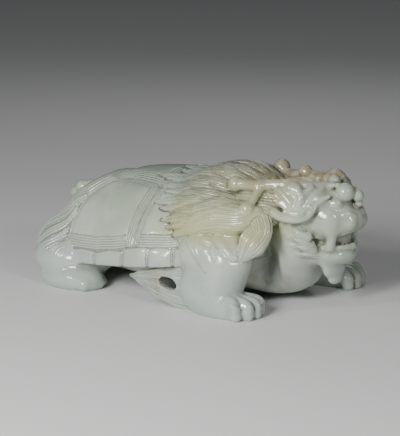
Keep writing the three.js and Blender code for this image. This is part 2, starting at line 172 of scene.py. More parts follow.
class Egg:
    """An ellipsoid, its front tipped down by some degrees."""

    def __init__(self, middle, radii, tip=0):
        self.middle = np.array(middle, float)
        self.radii = np.array(radii, np.float32)
        c, s = math.cos(math.radians(tip)), math.sin(math.radians(tip))
        self.turn = np.array([[c, 0, s], [0, 1, 0], [-s, 0, c]], np.float32)
        reach = np.sqrt(((self.turn * self.radii) ** 2).sum(1))
        self.low, self.high = self.middle - reach, self.middle + reach

    def distance(self, places):
        local = (places - self.middle.astype(np.float32)) @ self.turn
        near = np.sqrt(((local / self.radii) ** 2).sum(1))
        steep = np.sqrt(((local / self.radii**2) ** 2).sum(1)) + 1e-6
        return near * (near - 1) / steep


class Limb:
    """A tapering form along a smooth spine, from stations of (place, half-width, half-depth)."""

    def __init__(self, stations, out=(0, 0, 1), strands=0, groove=0.3, wave=0.0):
        knots = np.array([place for place, _, _ in stations], float)
        sizes = np.array([(w, h) for _, w, h in stations], float)
        ends = np.vstack([2 * knots[0] - knots[1], knots, 2 * knots[-1] - knots[-2]])
        spine, halves = [], []
        for i in range(len(knots) - 1):
            a, b, c, d = ends[i : i + 4]
            for t in np.linspace(0, 1, SPINE_STEPS, endpoint=False):
                bend = 2 * b + (c - a) * t + (2 * a - 5 * b + 4 * c - d) * t**2
                spine.append((bend + (3 * b - a - 3 * c + d) * t**3) / 2)
                ease = t * t * (3 - 2 * t)
                halves.append(sizes[i] * (1 - ease) + sizes[i + 1] * ease)
        spine.append(knots[-1])
        halves.append(sizes[-1])
        self.spine = np.array(spine, np.float32)
        self.halves = np.array(halves, np.float32)
        along = np.gradient(self.spine, axis=0)
        along /= np.linalg.norm(along, axis=1, keepdims=True)
        up = np.array([out(p) if callable(out) else out for p in self.spine], float)
        side = np.cross(along, up)
        self.side = (side / np.linalg.norm(side, axis=1, keepdims=True)).astype(np.float32)
        self.depth = np.cross(self.side, along).astype(np.float32)
        self.strands, self.groove, self.wave = strands, groove, wave
        reach = self.halves.max()
        self.low, self.high = self.spine.min(0) - reach, self.spine.max(0) + reach

    def locate(self, places):
        """How far along (0 to 1), across and deep each place is, and the halves there."""
        nearest = np.full(len(places), 1e9, np.float32)
        at = np.zeros(len(places), np.float32)
        for i in range(len(self.spine) - 1):
            step = self.spine[i + 1] - self.spine[i]
            gap = places - self.spine[i]
            t = np.clip(gap @ step / (step @ step), 0, 1)
            gap -= t[:, None] * step
            far = np.einsum("ij,ij->i", gap, gap)
            closer = far < nearest
            nearest[closer] = far[closer]
            at[closer] = i + t[closer]
        index = np.minimum(at.astype(int), len(self.spine) - 2)
        share = (at - index)[:, None]
        between = lambda rows: rows[index] * (1 - share) + rows[index + 1] * share
        gap = places - between(self.spine)
        halves = between(self.halves)
        across = np.einsum("ij,ij->i", gap, between(self.side))
        deep = np.einsum("ij,ij->i", gap, between(self.depth))
        past = np.einsum("ij,ij->i", gap, gap) - across**2 - deep**2
        past = np.sqrt(np.maximum(past, 0))
        return at / (len(self.spine) - 1), across, deep, past, halves

    def distance(self, places):
        _, across, deep, past, halves = self.locate(places)
        w, h = halves.T
        least = np.minimum(w, h)
        near = np.sqrt((across / w) ** 2 + (deep / h) ** 2 + (past / least) ** 2)
        steep = np.sqrt((across / w**2) ** 2 + (deep / h**2) ** 2 + (past / least**2) ** 2)
        return near * (near - 1) / (steep + 1e-6)


def shell_marks(places):
    """Shares of the shell's plan, forward and aside, and of its rise, and the rim's height."""
    x, y, z = places.T
    forward = (x - CROWN_X) / np.where(x < CROWN_X, SHELL_REAR, SHELL_FRONT)
    rim = RIM + RIM_SLOPE * x
    return forward, y / SHELL_HALF, (z - rim) / (CROWN_Z - rim), rim


class Dome:
    """The shell above its rim, flat underneath."""

    low = np.array([CROWN_X - SHELL_REAR - 2, -SHELL_HALF - 2, 8.0])
    high = np.array([CROWN_X + SHELL_FRONT + 2, SHELL_HALF + 2, CROWN_Z + 2])

    def distance(self, places):
        forward, aside, rise, rim = shell_marks(places)
        power = 2 / SHELL_FULLNESS
        rise = np.maximum(rise, 0)
        level = forward**2 + aside**2 + rise**power - 1
        reach = np.where(places[:, 0] < CROWN_X, SHELL_REAR, SHELL_FRONT)
        steep = 4 * ((forward / reach) ** 2 + (aside / SHELL_HALF) ** 2)
        steep = np.sqrt(steep + (power * rise ** (power - 1) / (CROWN_Z - rim)) ** 2) + 1e-6
        top = level / steep
        under = rim - RIM_THICK - places[:, 2]
        mix = np.clip(0.5 + (top - under) / 3, 0, 1)
        return under + (top - under) * mix + 1.5 * mix * (1 - mix)


class Stone:
    """The block: how far each of its cells is from the carved surface, and what it is part of."""

    def __init__(self, low, high, cell):
        self.cell = cell
        self.low = np.array(low) - EDGE_CELLS * cell
        shape = np.ceil((np.array(high) + EDGE_CELLS * cell - self.low) / cell).astype(int) + 1
        self.far = np.full(shape, OPEN, np.float32)
        self.part = np.zeros(shape, np.uint8)

    def windows(self, form, margin):
        """The cells near a form, a slab at a time, with their places."""
        low = np.floor((form.low - margin - self.low) / self.cell).astype(int)
        high = np.ceil((form.high + margin - self.low) / self.cell).astype(int) + 1
        low = np.maximum(low, 0)
        high = np.minimum(high, self.far.shape)
        if (low >= high).any():
            return
        slab = max(1, int(SLAB_CELLS / ((high - low)[1] * (high - low)[2])))
        for start in range(low[0], high[0], slab):
            stop = min(start + slab, high[0])
            window = (slice(start, stop), slice(low[1], high[1]), slice(low[2], high[2]))
            axes = [
                (np.arange(s.start, s.stop) * self.cell + self.low[i]).astype(np.float32)
                for i, s in enumerate(window)
            ]
            grid = np.stack(np.meshgrid(*axes, indexing="ij"), -1)
            yield window, grid.reshape(-1, 3), grid.shape[:3]

    def add(self, form, blend, part):
        """Joins a form to the stone, rounding the corner between them over blend."""
        for window, places, shape in self.windows(form, blend + self.cell):
            new = form.distance(places).reshape(shape)
            old = self.far[window]
            mix = np.clip(0.5 + 0.5 * (old - new) / blend, 0, 1)
            self.part[window][new < old] = part
            self.far[window] = old + (new - old) * mix - blend * mix * (1 - mix)

    def cut(self, form, blend):
        """Takes a form away, rounding the edge over blend."""
        for window, places, shape in self.windows(form, blend + self.cell):
            new = -form.distance(places).reshape(shape)
            old = self.far[window]
            mix = np.clip(0.5 + 0.5 * (new - old) / blend, 0, 1)
            self.far[window] = old + (new - old) * mix + blend * mix * (1 - mix)

    def cut_soles(self):
        """Cuts the stone flat at the ground."""
        z = np.arange(self.far.shape[2]) * self.cell + self.low[2]
        self.far = np.maximum(self.far, -z.astype(np.float32))

    def surface(self):
        """Vertices in millimetres, and four-cornered faces."""
        grid = openvdb.FloatGrid(background=OPEN)
        grid.copyFromArray(self.far)
        points, faces = grid.convertToQuads(isovalue=0.0)
        return points.astype(float) * self.cell + self.low, faces

    def shade_in_hollows(self, places, normals):
        """The share of painted shade in hollows: how far other stone closes in a surface, from 0 in
        the open to 1 in a narrow cut.
        """
        share = np.zeros(len(places))
        for reach in NARROW:
            far = self.read(self.far, places + normals * reach)
            share += np.clip(1 - far / reach, 0, 1) / len(NARROW)
        return share

    def read(self, cells, places):
        index = np.rint((places - self.low) / self.cell).astype(int)
        return cells[tuple(np.clip(index, 0, np.array(cells.shape) - 1).T)]


# Places

def on_head(x, y, z, side=1):
    """A place given from the head's middle plane."""
    return (x, HEAD_MIDDLE + side * y, z)


def mane_reach(x, tilt):
    """Distance from the mane's axis to its surface or the shell's, at a tilt in radians."""
    (mx, _, mz), (rx, ry, rz) = MANE_MIDDLE, MANE_RADII
    low, high = 0.0, 80.0
    for _ in range(20):
        middle = (low + high) / 2
        y, z = middle * math.sin(tilt), mz + middle * math.cos(tilt)
        inside = ((x - mx) / rx) ** 2 + (y / ry) ** 2 + ((z - mz) / rz) ** 2 < 1
        forward, aside, rise, _ = (v.item() for v in shell_marks(np.array([[x, y, z]])))
        flat = forward**2 + aside**2
        inside = inside or (flat < 0.97 and rise < (1 - flat) ** (SHELL_FULLNESS / 2))
        low, high = (middle, high) if inside else (low, middle)
    return low


def on_mane(x, tilt, lift=0.0):
    """The place on the mane, or lifted off it, at a tilt from upright in degrees."""
    angle = math.radians(tilt)
    reach = mane_reach(x, angle) + lift
    return (x, reach * math.sin(angle), MANE_MIDDLE[2] + reach * math.cos(angle))


def off_mane(place):
    """The way straight out of the mane."""
    return (0.0, place[1], place[2] - MANE_MIDDLE[2])


class Carver:
    """Adds the forms to the stone, and keeps the limbs whose strands are cut later."""

    def __init__(self, stone):
        self.stone = stone
        self.limbs = []

    def add(self, form, blend, part=PLAIN):
        if isinstance(form, Limb) and form.strands:
            part = FIRST_LIMB + len(self.limbs)
            self.limbs.append(form)
        self.stone.add(form, blend, part)

    def balls(self, knobs, blend, part=PLAIN):
        for x, y, z, r in knobs:
            self.add(Egg((x, y, z), (r, r, r)), blend, part)

    def string(self, places, halves, blend=0.8, out=(0.3, -1, 0.3), **kind):
        """A limb of the head as deep as it is wide, given the places and half-widths apart."""
        stations = [(place, half, half) for place, half in zip(places, halves)]
        self.add(Limb(stations, out=out, **kind), blend, HEAD)

    def body(self):
        self.add(Egg((-12, 0, 24), (80, 42, 20)), 3)
        self.add(Egg((38, 0, 26), (32, 34, 21)), 4)
        self.add(Egg((50, 2, 22), (24, 24, 19)), 4)
        neck = [((38, 0, 36), 25, 23), ((54, 1, 40), 20, 21), (on_head(70, 0, 43), 18, 18)]
        self.add(Limb(neck), 3, HEAD)
        self.add(Egg(MANE_MIDDLE, MANE_RADII), 2, CAPE)
        for side in SIDES:
            self.add(Egg((39, side * 21, 52), (12, 10, 9)), 3, CAPE)
            self.add(Egg((50, side * 21, 57), (12, 10, 8.5)), 3, CAPE)
            self.add(Egg((58, side * 26, 53), (9, 8, 8)), 3, CAPE)
            self.stone.cut(Egg((54.5, side * 27, 18), (9.5, 16, 26)), 3)
        self.add(Dome(), 1.5, SHELL)

    def foreleg(self, side):
        step = FAR_STEP if side > 0 else 0
        leg = [
            ((40, side * 36, 37), 10, 15),
            ((42 + step * 0.2, side * 40.5, 28), 14, 15.5),
            ((41 + step * 0.6, side * 43, 18), 13, 14),
            ((37 + step, side * 44, 8), 12, 13.5),
        ]
        self.add(Limb(leg, out=(1, 0, 0)), 3)
        self.add(Egg((33, side * 44, 30), (16, 10, 12)), 3)
        self.add(Egg((31 + step * 0.7, side * 46.5, 12), (12, 8, 13)), 3)
        self.add(Egg((45 + step, side * 44.8, 4.6), (19, 11.2, 8.8), tip=4), 3)
        toe_tips = ((64.0, 36.0), (65.6, 41.8), (64.6, 47.6), (60.5, 53.0))
        for i, (x, y) in enumerate(toe_tips):
            toe = [
                ((42 + step, side * (40 + 3.2 * i), 8.5), 3.4, 3.6),
                ((54 + step, side * (y * 0.72 + 12.5 + 0.3 * i), 8.2), 3.7, 3.9),
                ((x - 4.5 + step, side * y, 6.2), 3.4, 4.6),
                ((x - 2.8 + step, side * y, 2.4), 3.0, 3.2),
            ]
            self.add(Limb(toe), 0.7)

    def hind_leg(self, side):
        self.add(Egg((-66, side * 32, 14.5), (24, 21, 14)), 3, HAUNCH)
        self.add(Egg((-72, side * 23, 20), (22.5, 19, 15.5)), 4, HAUNCH)
        self.add(Egg((-59, side * 43, 5), (20, 12.5, 8.5)), 3)
        for i in range(4):
            y = 36.5 + 4.7 * i
            front = -37.5 - 1.6 * abs(i - 1)
            toe = [
                ((-54, side * (38 + 4 * i), 5), 3, 3),
                ((-45, side * y, 4), 2.8, 2.8),
                ((front - 4, side * y, 3), 2.6, 2.6),
            ]
            self.add(Limb(toe), 3)

    def lock(self, place, half, lift):
        """One lock of the mane, thick at its root and parted into three tips."""
        parting = ((0, 1.0, 1.0), (-1, 0.8, 0.62), (1, 0.88, 0.62))  # turn, length, width
        for turn, length, share in parting:
            wide = half * share
            start = 0 if turn == 0 else 0.3

            def point(t, up):
                return place(start + (length - start) * t, turn * half * 0.75 * t, up + lift)

            strands = 8 if turn == 0 else 5
            stations = [
                (point(0, -2.8), wide * 0.8, 2.4),
                (point(0.4, -1.5), wide, 2.7),
                (point(0.72, -0.8), wide * 0.66, 2.2),
                (point(0.9, -0.2), wide * 0.34, 1.5),
                (point(1, 0), 0.8, 0.8),
            ]
            self.add(Limb(stations, out=off_mane, strands=strands, groove=0.32), 0.6)

    def mane(self):
        for side in SIDES:
            for number, (tip_x, tilt, half) in enumerate(LOCKS):
                if side > 0 and tilt == 0:
                    continue
                under = number < UNDER_LOCKS
                root = 42 - tilt * 0.04 if under else 46
                lift = 1.1 if under else 1.3

                def place(t, aside, up, tip_x=tip_x, tilt=tilt, root=root, side=side):
                    turn = tilt * (0.88 + 0.12 * t) + aside / 0.8 + 2.5 * math.sin(t * 5)
                    return on_mane(root + (tip_x - root) * t, side * turn, up)

                self.lock(place, half, lift)
            lobe = [
                ((57, side * 33, 53), 4.5, 5),
                ((50, side * 38, 50.5), 8, 6),
                ((39, side * 41, 49.5), 8.5, 5.6),
                ((27, side * 43.5, 46), 6.6, 4.6),
                ((14.5, side * 46, 39.5), 1.8, 1.8),
            ]
            self.add(Limb(lobe, out=(0.3, side, 0.45), strands=11, groove=0.22, wave=0.06), 1.6)
            upper = [
                ((48, side * 33, 54), 5, 4),
                ((38, side * 38, 54.5), 7, 5),
                ((27, side * 40.5, 52), 5, 4.2),
                ((18, side * 43.5, 48.5), 1.4, 1.8),
            ]
            self.add(Limb(upper, out=(0.1, side, 0.7), strands=9, groove=0.24, wave=0.06), 1.8)

    def hair(self):
        """The leaf-shaped locks below the horns, and the tufts behind the elbows."""
        for side in SIDES:
            leaf = [
                ((57, side * 33, 53), 6.5, 3.6),
                ((61.5, side * 36.5, 46), 6.8, 3.9),
                ((60, side * 41, 39.6), 7.6, 4.0),
                ((56.4, side * 44, 33.4), 4.4, 2.9),
                ((54, side * 45, 29.8), 1.0, 1.2),
            ]
            out = (0.56, side * 0.8, 0.2)
            self.add(Limb(leaf, out=out, strands=12, groove=0.34, wave=0.05), 2.0)
            fan = [
                ((31, side * 46.5, 11), 13, 2.6),
                ((19, side * 47.5, 10.5), 11.5, 2.8),
                ((6, side * 48.5, 11.8), 9.2, 2.4),
                ((-5, side * 48.5, 13.2), 4.8, 2.0),
                ((-13.5, side * 48, 13.4), 1.2, 1.2),
            ]
            self.add(Limb(fan, out=(0, side, 0), strands=13, groove=0.34), 1.2)

    def pierce(self):
        """The holes through the elbow tufts."""
        for side in SIDES:
            self.stone.cut(Egg((12, side * 47, 13), (5.8, 12, 3.2), tip=12), 0.9)

    def tail(self):
        brush = [
            ((-90, 10, 10), 9, 7),
            ((-97.5, 14, 20), 9, 6),
            ((-96, 17, 32), 8, 5),
            ((-90, 15, 39), 6, 4.5),
            ((-84, 12, 42), 3, 3),
        ]
        self.add(Limb(brush, out=(-1, 0.4, 0.6), strands=7, groove=0.5), 1.5)
        self.balls(TAIL_KNOBS, 1)

    def head(self):
        # Skull, snout, jaw, chin, nose, brow and the hair behind it.
        self.add(Egg(on_head(74, 0, 50), (19, 19, 16)), 3, HEAD)
        self.add(Egg(on_head(85, 0, 46.5), (14, 12.5, 11)), 3, HEAD)
        self.add(Egg(on_head(76, 0, 30.5), (18, 14.5, 8.5), tip=4), 2.5, HEAD)
        self.add(Egg(on_head(86.5, 0, 30), (9, 11, 5.5)), 2, HEAD)
        self.add(Egg(on_head(92, 0, 49.5), (8.5, 9, 6)), 2, HEAD)
        self.add(Egg(on_head(85, 0, 59), (9, 11, 7.5)), 2.5, HEAD)
        self.add(Egg((62, 9, 60), (17, 9, 7)), 3, HEAD)
        for side in SIDES:
            throat = [
                (on_head(65, 13, 44, side), 12, 11),
                (on_head(66, 10, 31, side), 12, 11),
                (on_head(61, 3, 19, side), 13, 12),
            ]
            self.add(Limb(throat, out=(1, 0, 0)), 3, HEAD)
            self.add(Egg(on_head(83, 11, 49.5, side), (11, 7, 9)), 2.5, HEAD)
            self.add(Egg(on_head(89.5, 5.5, 51, side), (8, 6, 7.5)), 3, HEAD)
        # The open mouth, with its tongue and its back wall.
        self.stone.cut(Egg(on_head(102, 0, 39.6), (15, 20, 4.6), tip=-12), 0.8)
        self.add(Egg(on_head(83, 0, 36.4), (9.5, 7.5, 3.2)), 1, HEAD)
        self.add(Egg(on_head(84.5, 0, 39), (7.4, 10, 7)), 1, HEAD)
        for side in SIDES:
            self.head_side(side)
        for y in (-6.4, -3.8, -1.3, 1.3, 3.8, 6.4):
            self.add(Egg(on_head(91.5 - y * y * 0.07, y, 34.9), (1.4, 1.3, 1.9)), 0.4, HEAD)
        self.balls(CROWN_KNOBS, 1.0, HEAD)
        beard = [((83, 1, 27), 10.5, 5), ((84.4, 1, 20.5), 9.2, 4), ((85.2, 1, 16), 5.6, 3)]
        self.add(Limb(beard, out=(1, 0, 0.3)), 2, HEAD)
        self.horns()

    def head_side(self, side):
        def there(rows):
            return [on_head(x, y, z, side) for x, y, z in rows]

        out = (0.3, side, 0.3)
        # The corner of the mouth and its pillar, the lower and the upper lip.
        self.stone.cut(Egg(on_head(80.5, 15, 37.2, side), (4, 5, 1.9)), 0.9)
        pillar = [(89, 12.4, 44.5), (89.2, 12.0, 40), (88, 11.8, 35.5)]
        lower = [(84, 12.5, 34.5), (90, 9, 34.6), (93.6, 4.5, 34.6), (94.8, 0, 34.6)]
        upper = [(88, 12.5, 43.5), (92.5, 9.5, 45.2), (96, 4.5, 47), (97, 0, 47.4)]
        self.string(there(pillar), (2.6, 2.2, 2.8), 3)
        self.string(there(lower), (1.4, 1.4, 1.4, 1.4), 1.6)
        self.string(there(upper), (2.2, 1.8, 1.6, 1.6), 2)
        # The nostril, the brow, and two wrinkles of the snout.
        self.add(Egg(on_head(95.6, 5.2, 48.6, side), (4.4, 4.2, 4.2)), 1.0, HEAD)
        self.add(Egg(on_head(88.6, 9.4, 58.4, side), (4.6, 3.4, 3.4)), 2, HEAD)
        for rows, halves in (
            ([(91.5, 10.4, 49.4), (95, 8.6, 47.8), (97.2, 6.6, 45.6)], (1.3, 1.2, 0.8)),
            ([(92, 9.4, 53), (96, 7, 53.4), (98.6, 4, 51.6)], (1.1, 1.1, 0.8)),
        ):
            self.string(there(rows), halves, 1.2)
        # The curls of the cheek.
        curls = (
            [(79, 18.6, 41), (75, 21, 42.6), (71, 22.6, 45.4)],
            [(79, 16, 36.4), (75, 20.8, 39), (69, 23.2, 41)],
            [(80, 15, 33.6), (76.5, 19.4, 35.2), (70.5, 22, 36.2)],
            [(80.5, 13.4, 30.6), (77, 17.4, 31.4), (71, 19.6, 31)],
        )
        for rows in curls:
            self.string(there(rows), (2.2, 2.0, 0.9), 1.6, out=out, strands=3, groove=0.3)
        for rows, halves in (
            ([(66, 24.4, 49), (65.5, 24, 45), (66, 22.6, 40.5)], (1.8, 1.5, 0.6)),
            ([(70, 23.2, 49), (69.8, 23, 46), (70.4, 22, 42.5)], (1.5, 1.2, 0.5)),
        ):
            self.string(there(rows), halves, 1.2)
        # The ear: a lumpy leaf laid back along the head, with folds in a raised rim.
        self.add(Egg(on_head(68, 14.5, 59, side), (15, 13, 9)), 2, HEAD)
        self.add(Egg(on_head(68, 17.5, 54.5, side), (13, 8.5, 5)), 2, HEAD)
        self.add(Egg(on_head(79, 11, 59.5, side), (8.5, 9.8, 6.6)), 2, HEAD)
        rim = (
            (53.4, 30, 59), (59.1, 31, 56.7), (64.4, 30.5, 54.1), (69.9, 29, 51.9),
            (76.3, 26.5, 51), (80.5, 23.5, 52.2), (82.6, 21, 55.3), (83.4, 18.6, 58.4),
            (85.5, 16, 61.1), (87.6, 13.5, 62.6),
        )
        halves = (2.4, 3.2, 3.0, 2.3, 1.8, 1.5, 1.4, 1.4, 1.4, 1.2)
        self.string(there(rim), halves, 0.8, out=out)
        folds = (
            ([(62.3, 25, 66.2), (67, 26.5, 64), (72, 27, 59.5)], (1.6, 1.8, 1.2)),
            ([(59, 27, 61.5), (65.8, 28, 59.5), (70.2, 28, 56.6)], (1.3, 1.5, 1.0)),
            ([(74.6, 23.6, 66), (77.1, 24.6, 63), (76.8, 26, 59)], (1.5, 1.6, 1.2)),
            ([(73.2, 27, 57.2), (78.4, 24.6, 57), (80.6, 20.5, 59.6)], (1.1, 1.2, 1.0)),
            ([(79, 16.5, 67), (78, 21, 64.4), (77.4, 24, 61)], (1.4, 1.5, 1.1)),
            ([(82.5, 12, 66.4), (81.6, 17, 63.6), (81, 20, 60.4)], (1.3, 1.4, 1.0)),
            ([(70.4, 28, 54.8), (77.4, 25.8, 54.2), (81, 22.2, 57)], (0.8, 0.8, 0.7)),
        )
        for rows, halves in folds:
            self.string([(x, y - side * 0.5, z) for x, y, z in there(rows)], halves, 2.2, out=out)
        self.add(Egg(on_head(70.5, 21.5, 65.6, side), (5.6, 4.5, 4.6)), 1.2, HEAD)

    def horns(self):
        """Each horn's stem and branches, right then left, and the balls at their ends."""
        self.add(Egg((60, -17, 62), (11, 8, 6)), 3, CAPE)
        stem = [(83, -5, 66), (76.6, -12, 67), (71, -17, 68), (64.5, -20.5, 68), (56.4, -23.5, 67)]
        self.string(stem, (2.8, 2.6, 2.6, 2.6, 3.0), 1.2)
        self.string([(54, -25, 66.2), (46, -25.4, 66.2), (39.5, -25.6, 66.2)], (3.4, 3.0, 3.0), 1.0)
        self.string([(54, -25.4, 65), (55, -31, 62), (54.4, -35, 58.5)], (2.6, 2.2, 2.4), 1.0)
        stem = [(80, 7, 66), (69, 10, 66.6), (58, 15, 66.2), (47, 19, 64.6), (38, 23, 65)]
        self.string(stem, (3.4, 3.4, 3.4, 3.0, 2.8), 1.2)
        self.string([(56, 20, 64), (54.6, 30, 61.5), (52.6, 36.5, 57.5)], (2.8, 2.4, 2.4), 1.0)
        self.balls(HORN_BALLS, 0.7, HEAD)


# Fine lines, cut into the finished surface

def chart(places):
    """Places on the shell, laid out flat in millimetres from the crown."""
    forward, aside, rise, _ = shell_marks(places)
    flat = np.hypot(forward, aside) + 1e-9
    fall = np.arctan2(flat, np.maximum(rise, 0) ** (1 / SHELL_FULLNESS)) * 2 / math.pi
    fore = np.where(forward < 0, CHART_SCALE[0], CHART_SCALE[1])
    return np.stack([forward / flat * fall * fore, aside / flat * fall * CHART_SCALE[2]], 1)


def chart_polar(angle, fall):
    """A place on the chart at an angle from straight ahead, 0 at the crown to 1 at the rim."""
    fore = CHART_SCALE[0] if math.cos(angle) < 0 else CHART_SCALE[1]
    return (math.cos(angle) * fall * fore, math.sin(angle) * fall * CHART_SCALE[2])


def chart_place(x, y):
    """The place on the chart of the shell's surface above (x, y)."""
    forward = (x - CROWN_X) / (SHELL_REAR if x < CROWN_X else SHELL_FRONT)
    aside = y / SHELL_HALF
    fall = math.asin(min(1, math.hypot(forward, aside))) * 2 / math.pi
    return chart_polar(math.atan2(aside, forward), fall)


def edge_fall(angle):
    """How far down the shell the edge plates begin, at an angle from straight ahead."""
    return 0.84 + 0.05 * float(smooth(math.radians(85), math.radians(107), abs(angle)))


def plates():
    """Each plate as its corners on the chart, its doming, and its runs of border lines."""
    made = []
    for i, doming in enumerate(SPINE_DOMING):
        rear, front = SPINE_SEAMS[i : i + 2]
        middle, narrow = FLANK_SEAMS[i], TAIL_NARROW if i == 0 else 1
        corners = [(rear, -SPINE_HALF * narrow), (middle, -SPINE_BULGE), (front, -SPINE_HALF)]
        corners += [(x, -y) for x, y in reversed(corners)]
        made.append(([chart_place(*c) for c in corners], doming, SPINE_RUNS))
    for side in SIDES:
        def outer(x):
            forward = (x - CROWN_X) / (SHELL_REAR if x < CROWN_X else SHELL_FRONT)
            angle = math.acos(forward)
            for _ in range(4):
                level = math.sin(edge_fall(angle) * math.pi / 2)
                angle = math.acos(max(-1, min(1, forward / level)))
            return chart_polar(side * angle, edge_fall(angle))

        for i in range(2):
            rear, front = FLANK_SEAMS[i : i + 2]
            corners = ((rear, SPINE_BULGE), (SPINE_SEAMS[i + 1], SPINE_HALF), (front, SPINE_BULGE))
            corners = [chart_place(x, side * y) for x, y in corners]
            corners += [outer(x) for x in np.linspace(front, rear, 5)]
            made.append((corners, FLANK_DOMING, FLANK_RUNS))
        start, stop = EDGE_SPAN
        step = (stop - start) / EDGE_COUNT
        for i in range(EDGE_COUNT):
            a, b = side * (start + step * i), side * (start + step * (i + 1))
            corners = [chart_polar(t, edge_fall(t)) for t in (a, (a + b) / 2, b)]
            corners += [chart_polar(b, RIM_FALL), chart_polar(a, RIM_FALL)]
            made.append((corners, EDGE_DOMING, EDGE_RUNS))
    return made


def inside_distance(corners, places, only=None):
    """How far inside an outline each place is from its nearest side, or from some sides only."""
    corners = np.array(corners)
    nxt = np.roll(corners, -1, axis=0)
    area = (corners[:, 0] * nxt[:, 1] - corners[:, 1] * nxt[:, 0]).sum()
    nearest = np.full(len(places), 1e9)
    for i, (a, b) in enumerate(zip(corners, nxt)):
        if only and i not in only:
            continue
        run = (b - a) / np.linalg.norm(b - a)
        gap = places - a
        nearest = np.minimum(nearest, (run[0] * gap[:, 1] - run[1] * gap[:, 0]) * np.sign(area))
    return nearest


class Lines:
    """What is cut at each place: how far it is raised, the number of its line, whole on a line
    and a fraction between two, and how deep the lines are there."""

    def __init__(self, count):
        self.rise, self.number, self.depth = np.zeros((3, count))

    def put(self, here, other):
        for name in ("rise", "number", "depth"):
            getattr(self, name)[here] = getattr(other, name)


def rump_lines(places):
    """Hair combed down over the rump and the haunches."""
    x, y, z = places.T
    turn = np.arctan2(np.abs(y) / SHELL_HALF, (CROWN_X - x) / SHELL_REAR)
    made = Lines(len(places))
    comb = turn * 70 + 1.1 * np.sin(z / 7) + 0.8 * np.sin(x / 5)
    made.number = comb / 1.6
    made.depth = 1.35 * smooth(17, 23, z) * smooth(-57, -64, x)
    made.rise = 0.45 * np.sin(comb * 2 * math.pi / 8.5) * made.depth
    return made


def shell_lines(places):
    """The plates with their borders, and rump hair behind the last of them."""
    x, y, _ = places.T
    flat = chart(places)
    made = Lines(len(places))
    deepest = np.full(len(places), -1e9)
    for corners, doming, runs in plates():
        deep = inside_distance(corners, flat)
        deepest = np.maximum(deepest, deep)
        inside = deep > 0
        made.rise[inside] = doming * smooth(0, 7, deep[inside])
        for only, first, gap, count in runs:
            d = inside_distance(corners, flat, only)
            end = first + (count - 0.5) * gap
            here = inside & (d < end)
            made.number[here] = (d[here] - first) / gap
            made.depth[here] = smooth(first - 0.9, first - 0.6, d[here])
            made.depth[here] *= smooth(end, end - 0.4, d[here])
    groove = 0.75 * np.exp(-((np.maximum(deepest, 0) / 0.55) ** 2))
    made.rise -= np.where(deepest > -3, groove, 0)
    across, y = np.abs(x - BAND_X), np.abs(y)
    band = (across < BAND_HALF) & (y > 12) & (y < 31)
    made.number[band] = (x[band] - BAND_X) / BAND_GAP
    ends = smooth(11, 17, y[band]) * smooth(31, 25, y[band])
    made.depth[band] = 0.7 * smooth(BAND_HALF, 2.9, across[band]) * ends
    rump = (x < FLANK_SEAMS[0]) & (deepest <= 0)
    made.put(rump, rump_lines(places[rump]))
    return made


def strand_lines(limb, places):
    """Strands along a limb, spread over its width and wandering a little."""
    along, across, _, _, halves = limb.locate(places.astype(np.float32))
    half = halves[:, 0]
    made = Lines(len(places))
    shift = limb.wave * np.sin(along * 9)
    number = (across / half + shift) * limb.strands / 2
    made.number = number + 0.28 * np.sin(number * 2.1 + along * 7)
    made.depth = smooth(0.3, 1.4, half) * smooth(1.15, 0.9, np.abs(across) / half)
    made.depth = made.depth * limb.groove / 0.4
    made.depth *= 0.75 + 0.25 * np.sin(number * 1.3 + along * 11)
    return made


def cape_lines(places):
    """Strands combed back over the mane between its locks."""
    x, y, z = places.T
    tilt = np.arctan2(y, z - MANE_MIDDLE[2])
    made = Lines(len(places))
    made.number = (tilt * 30 + 0.9 * np.sin(x / 6)) / 1.5
    made.depth += 0.85
    return made


def fold_rise(places):
    """The folds of skin on the shoulders."""
    x, y, z = places.T
    rise = np.zeros(len(places))
    for curve in FOLDS:
        nearest, signed = np.full(len(x), 1e9), np.zeros(len(x))
        for (ax, az), (bx, bz) in zip(curve, curve[1:]):
            run = np.array([bx - ax, bz - az])
            t = np.clip(((x - ax) * run[0] + (z - az) * run[1]) / (run @ run), 0, 1)
            gx, gz = x - ax - t * run[0], z - az - t * run[1]
            far = np.hypot(gx, gz)
            closer = far < nearest
            nearest[closer] = far[closer]
            signed[closer] = (np.sign(run[0] * gz - run[1] * gx) * far)[closer]
        ridge = 0.7 * np.exp(-((nearest / 1.3) ** 2))
        rise += ridge - 0.5 * np.exp(-(((signed + 1.9) / 0.8) ** 2)) * (nearest < 4)
    return rise * smooth(36, 41, np.abs(y))


def lines_at(places, stone, limbs):
    """What is cut at each place, by the part of the carving that it belongs to."""
    made, part = Lines(len(places)), stone.read(stone.part, places)
    for label, cutter in ((SHELL, shell_lines), (HAUNCH, rump_lines), (CAPE, cape_lines)):
        here = part == label
        made.put(here, cutter(places[here]))
    for number, limb in enumerate(limbs):
        here = part == FIRST_LIMB + number
        if here.any():
            made.put(here, strand_lines(limb, places[here]))
    plain = part == PLAIN
    made.rise[plain] += fold_rise(places[plain])
    return made


